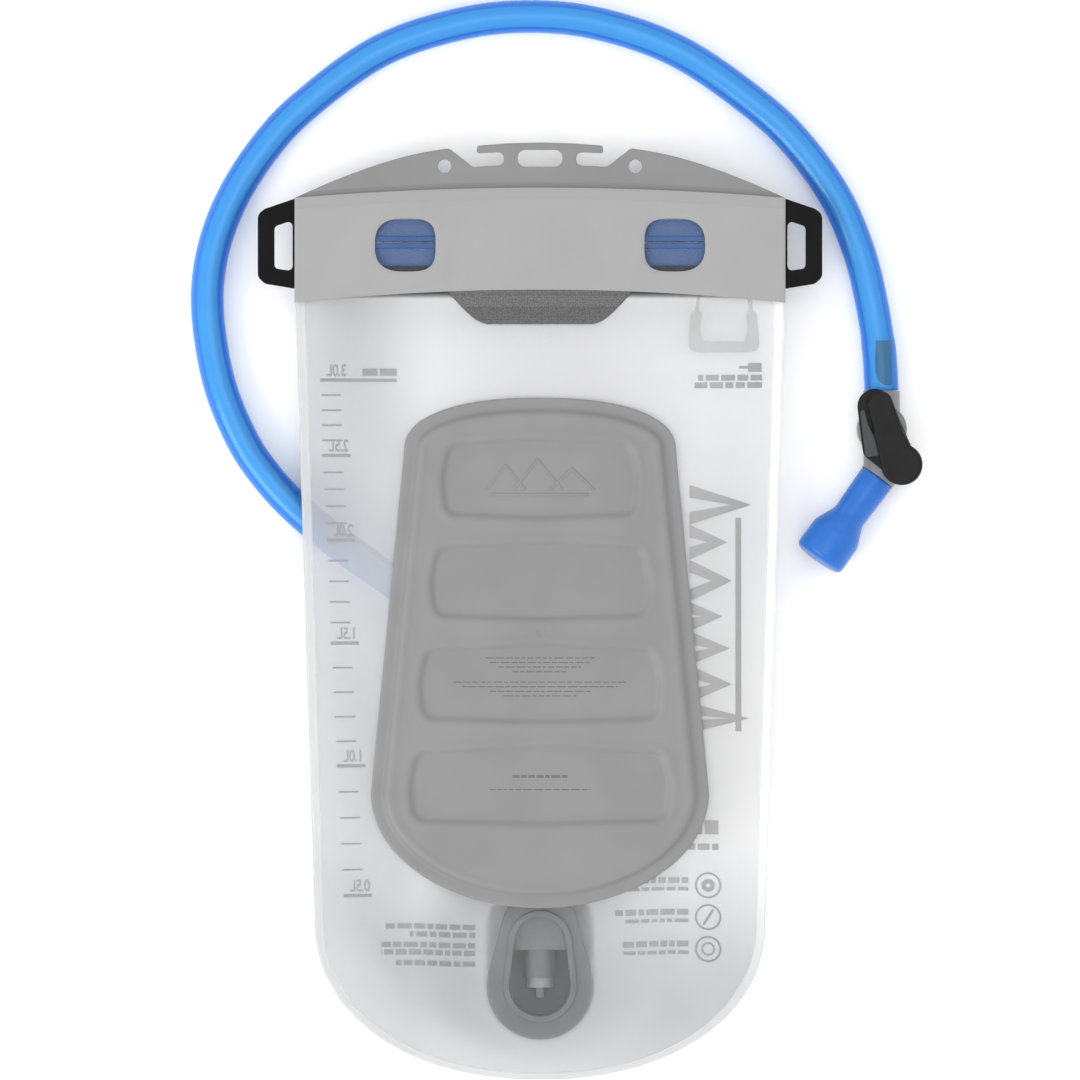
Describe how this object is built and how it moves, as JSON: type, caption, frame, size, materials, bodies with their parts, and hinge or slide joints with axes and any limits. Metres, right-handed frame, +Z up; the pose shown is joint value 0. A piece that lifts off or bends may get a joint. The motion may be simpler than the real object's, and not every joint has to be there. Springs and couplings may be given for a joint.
{
  "type": "hydration bladder",
  "caption": "Flat water reservoir with a zip top, a hanger, a moulded back plate and a plug-in drinking tube that ends in a shut-off elbow and a bite valve.",
  "frame": {"origin": "middle of the bag, on the surface that it lies on with its front down", "axes": "+Y from the port end to the hanger, +Z up through the back plate, +X to the right seen from the back"},
  "size_m": [0.3218, 0.4748, 0.038],
  "materials": {
    "frosted_film": "frosted clear film",
    "grey_band": "finely grained film",
    "grey_sheet": "satin sheet",
    "grip_rubber": "grained rubber",
    "grey_plate": "satin moulding",
    "blue_tape": "coated tape",
    "blue_track": "extruded",
    "black_plastic": "satin moulding",
    "dark_plastic": "satin moulding",
    "grey_cord": "braided",
    "port_plastic": "satin moulding",
    "pale_plastic": "satin moulding",
    "spring_steel": "drawn wire",
    "seal_rubber": "smooth",
    "blue_tube": "clear blue tube",
    "valve_grey": "satin moulding",
    "blue_silicone": "matte silicone"
  },
  "bodies": {
    "bag": {"front_film": "frosted_film", "back_film": "frosted_film", "header_band_back": "grey_band", "header_band_front": "grey_band", "hanger": "grey_sheet", "grip_patch": "grip_rubber", "back_plate": "grey_plate", "zip_tape_upper": "blue_tape", "zip_tape_lower": "blue_tape", "zip_track_upper": "blue_track", "zip_track_lower": "blue_track", "end_stop_left": "blue_track", "end_stop_right": "blue_track", "end_tab_left": "black_plastic", "end_tab_right": "black_plastic", "port_flange": "port_plastic", "port_body": "port_plastic", "valve_cage": "pale_plastic", "poppet_spring": "spring_steel", "button_spring": "spring_steel"},
    "slider": {"zip_slider": "black_plastic"},
    "pull": {"pull_cord": "grey_cord", "pull_grip": "dark_plastic"},
    "poppet": {"poppet": "pale_plastic"},
    "button": {"release_button": "dark_plastic"},
    "tube": {"tube_plug": "port_plastic", "plug_o_ring": "seal_rubber", "tube_collar": "dark_plastic", "drink_tube": "blue_tube", "valve_housing": "valve_grey", "mouthpiece": "blue_silicone"},
    "lever": {"valve_spindle": "pale_plastic", "spindle_o_ring": "seal_rubber", "shutoff_lever": "black_plastic", "lever_badge": "valve_grey"}
  },
  "joints": [
    {"name": "zip_slide", "type": "slide", "parent": "bag", "child": "slider", "axis": [-1, 0, 0], "range_m": [0, 0.162]},
    {"name": "pull_swing", "type": "hinge", "parent": "slider", "child": "pull", "pos_m": [0.0811, 0.1605, 0.0112], "axis": [1, 0, 0], "range_deg": [0, 160]},
    {"name": "button_press", "type": "slide", "parent": "bag", "child": "button", "axis": [-1, 0, 0], "range_m": [0, 0.0018], "stiffness_N_per_m": 500, "springref_m": -0.001, "deforming": ["button_spring"]},
    {"name": "tube_unplug", "type": "slide", "parent": "bag", "child": "tube", "axis": [0, 1, 0], "range_m": [0, 0.016]},
    {"name": "poppet_slide", "type": "slide", "parent": "bag", "child": "poppet", "axis": [0, 1, 0], "range_m": [0, 0.00288], "deforming": ["poppet_spring"]},
    {"name": "lever_turn", "type": "hinge", "parent": "tube", "child": "lever", "pos_m": [0.1505, 0.08, 0.0169], "axis": [0, 0, 1], "range_deg": [0, 90]}
  ],
  "couplings": [
    {"joint": "poppet_slide", "follows": "tube_unplug", "ratio": 0.18}
  ]
}
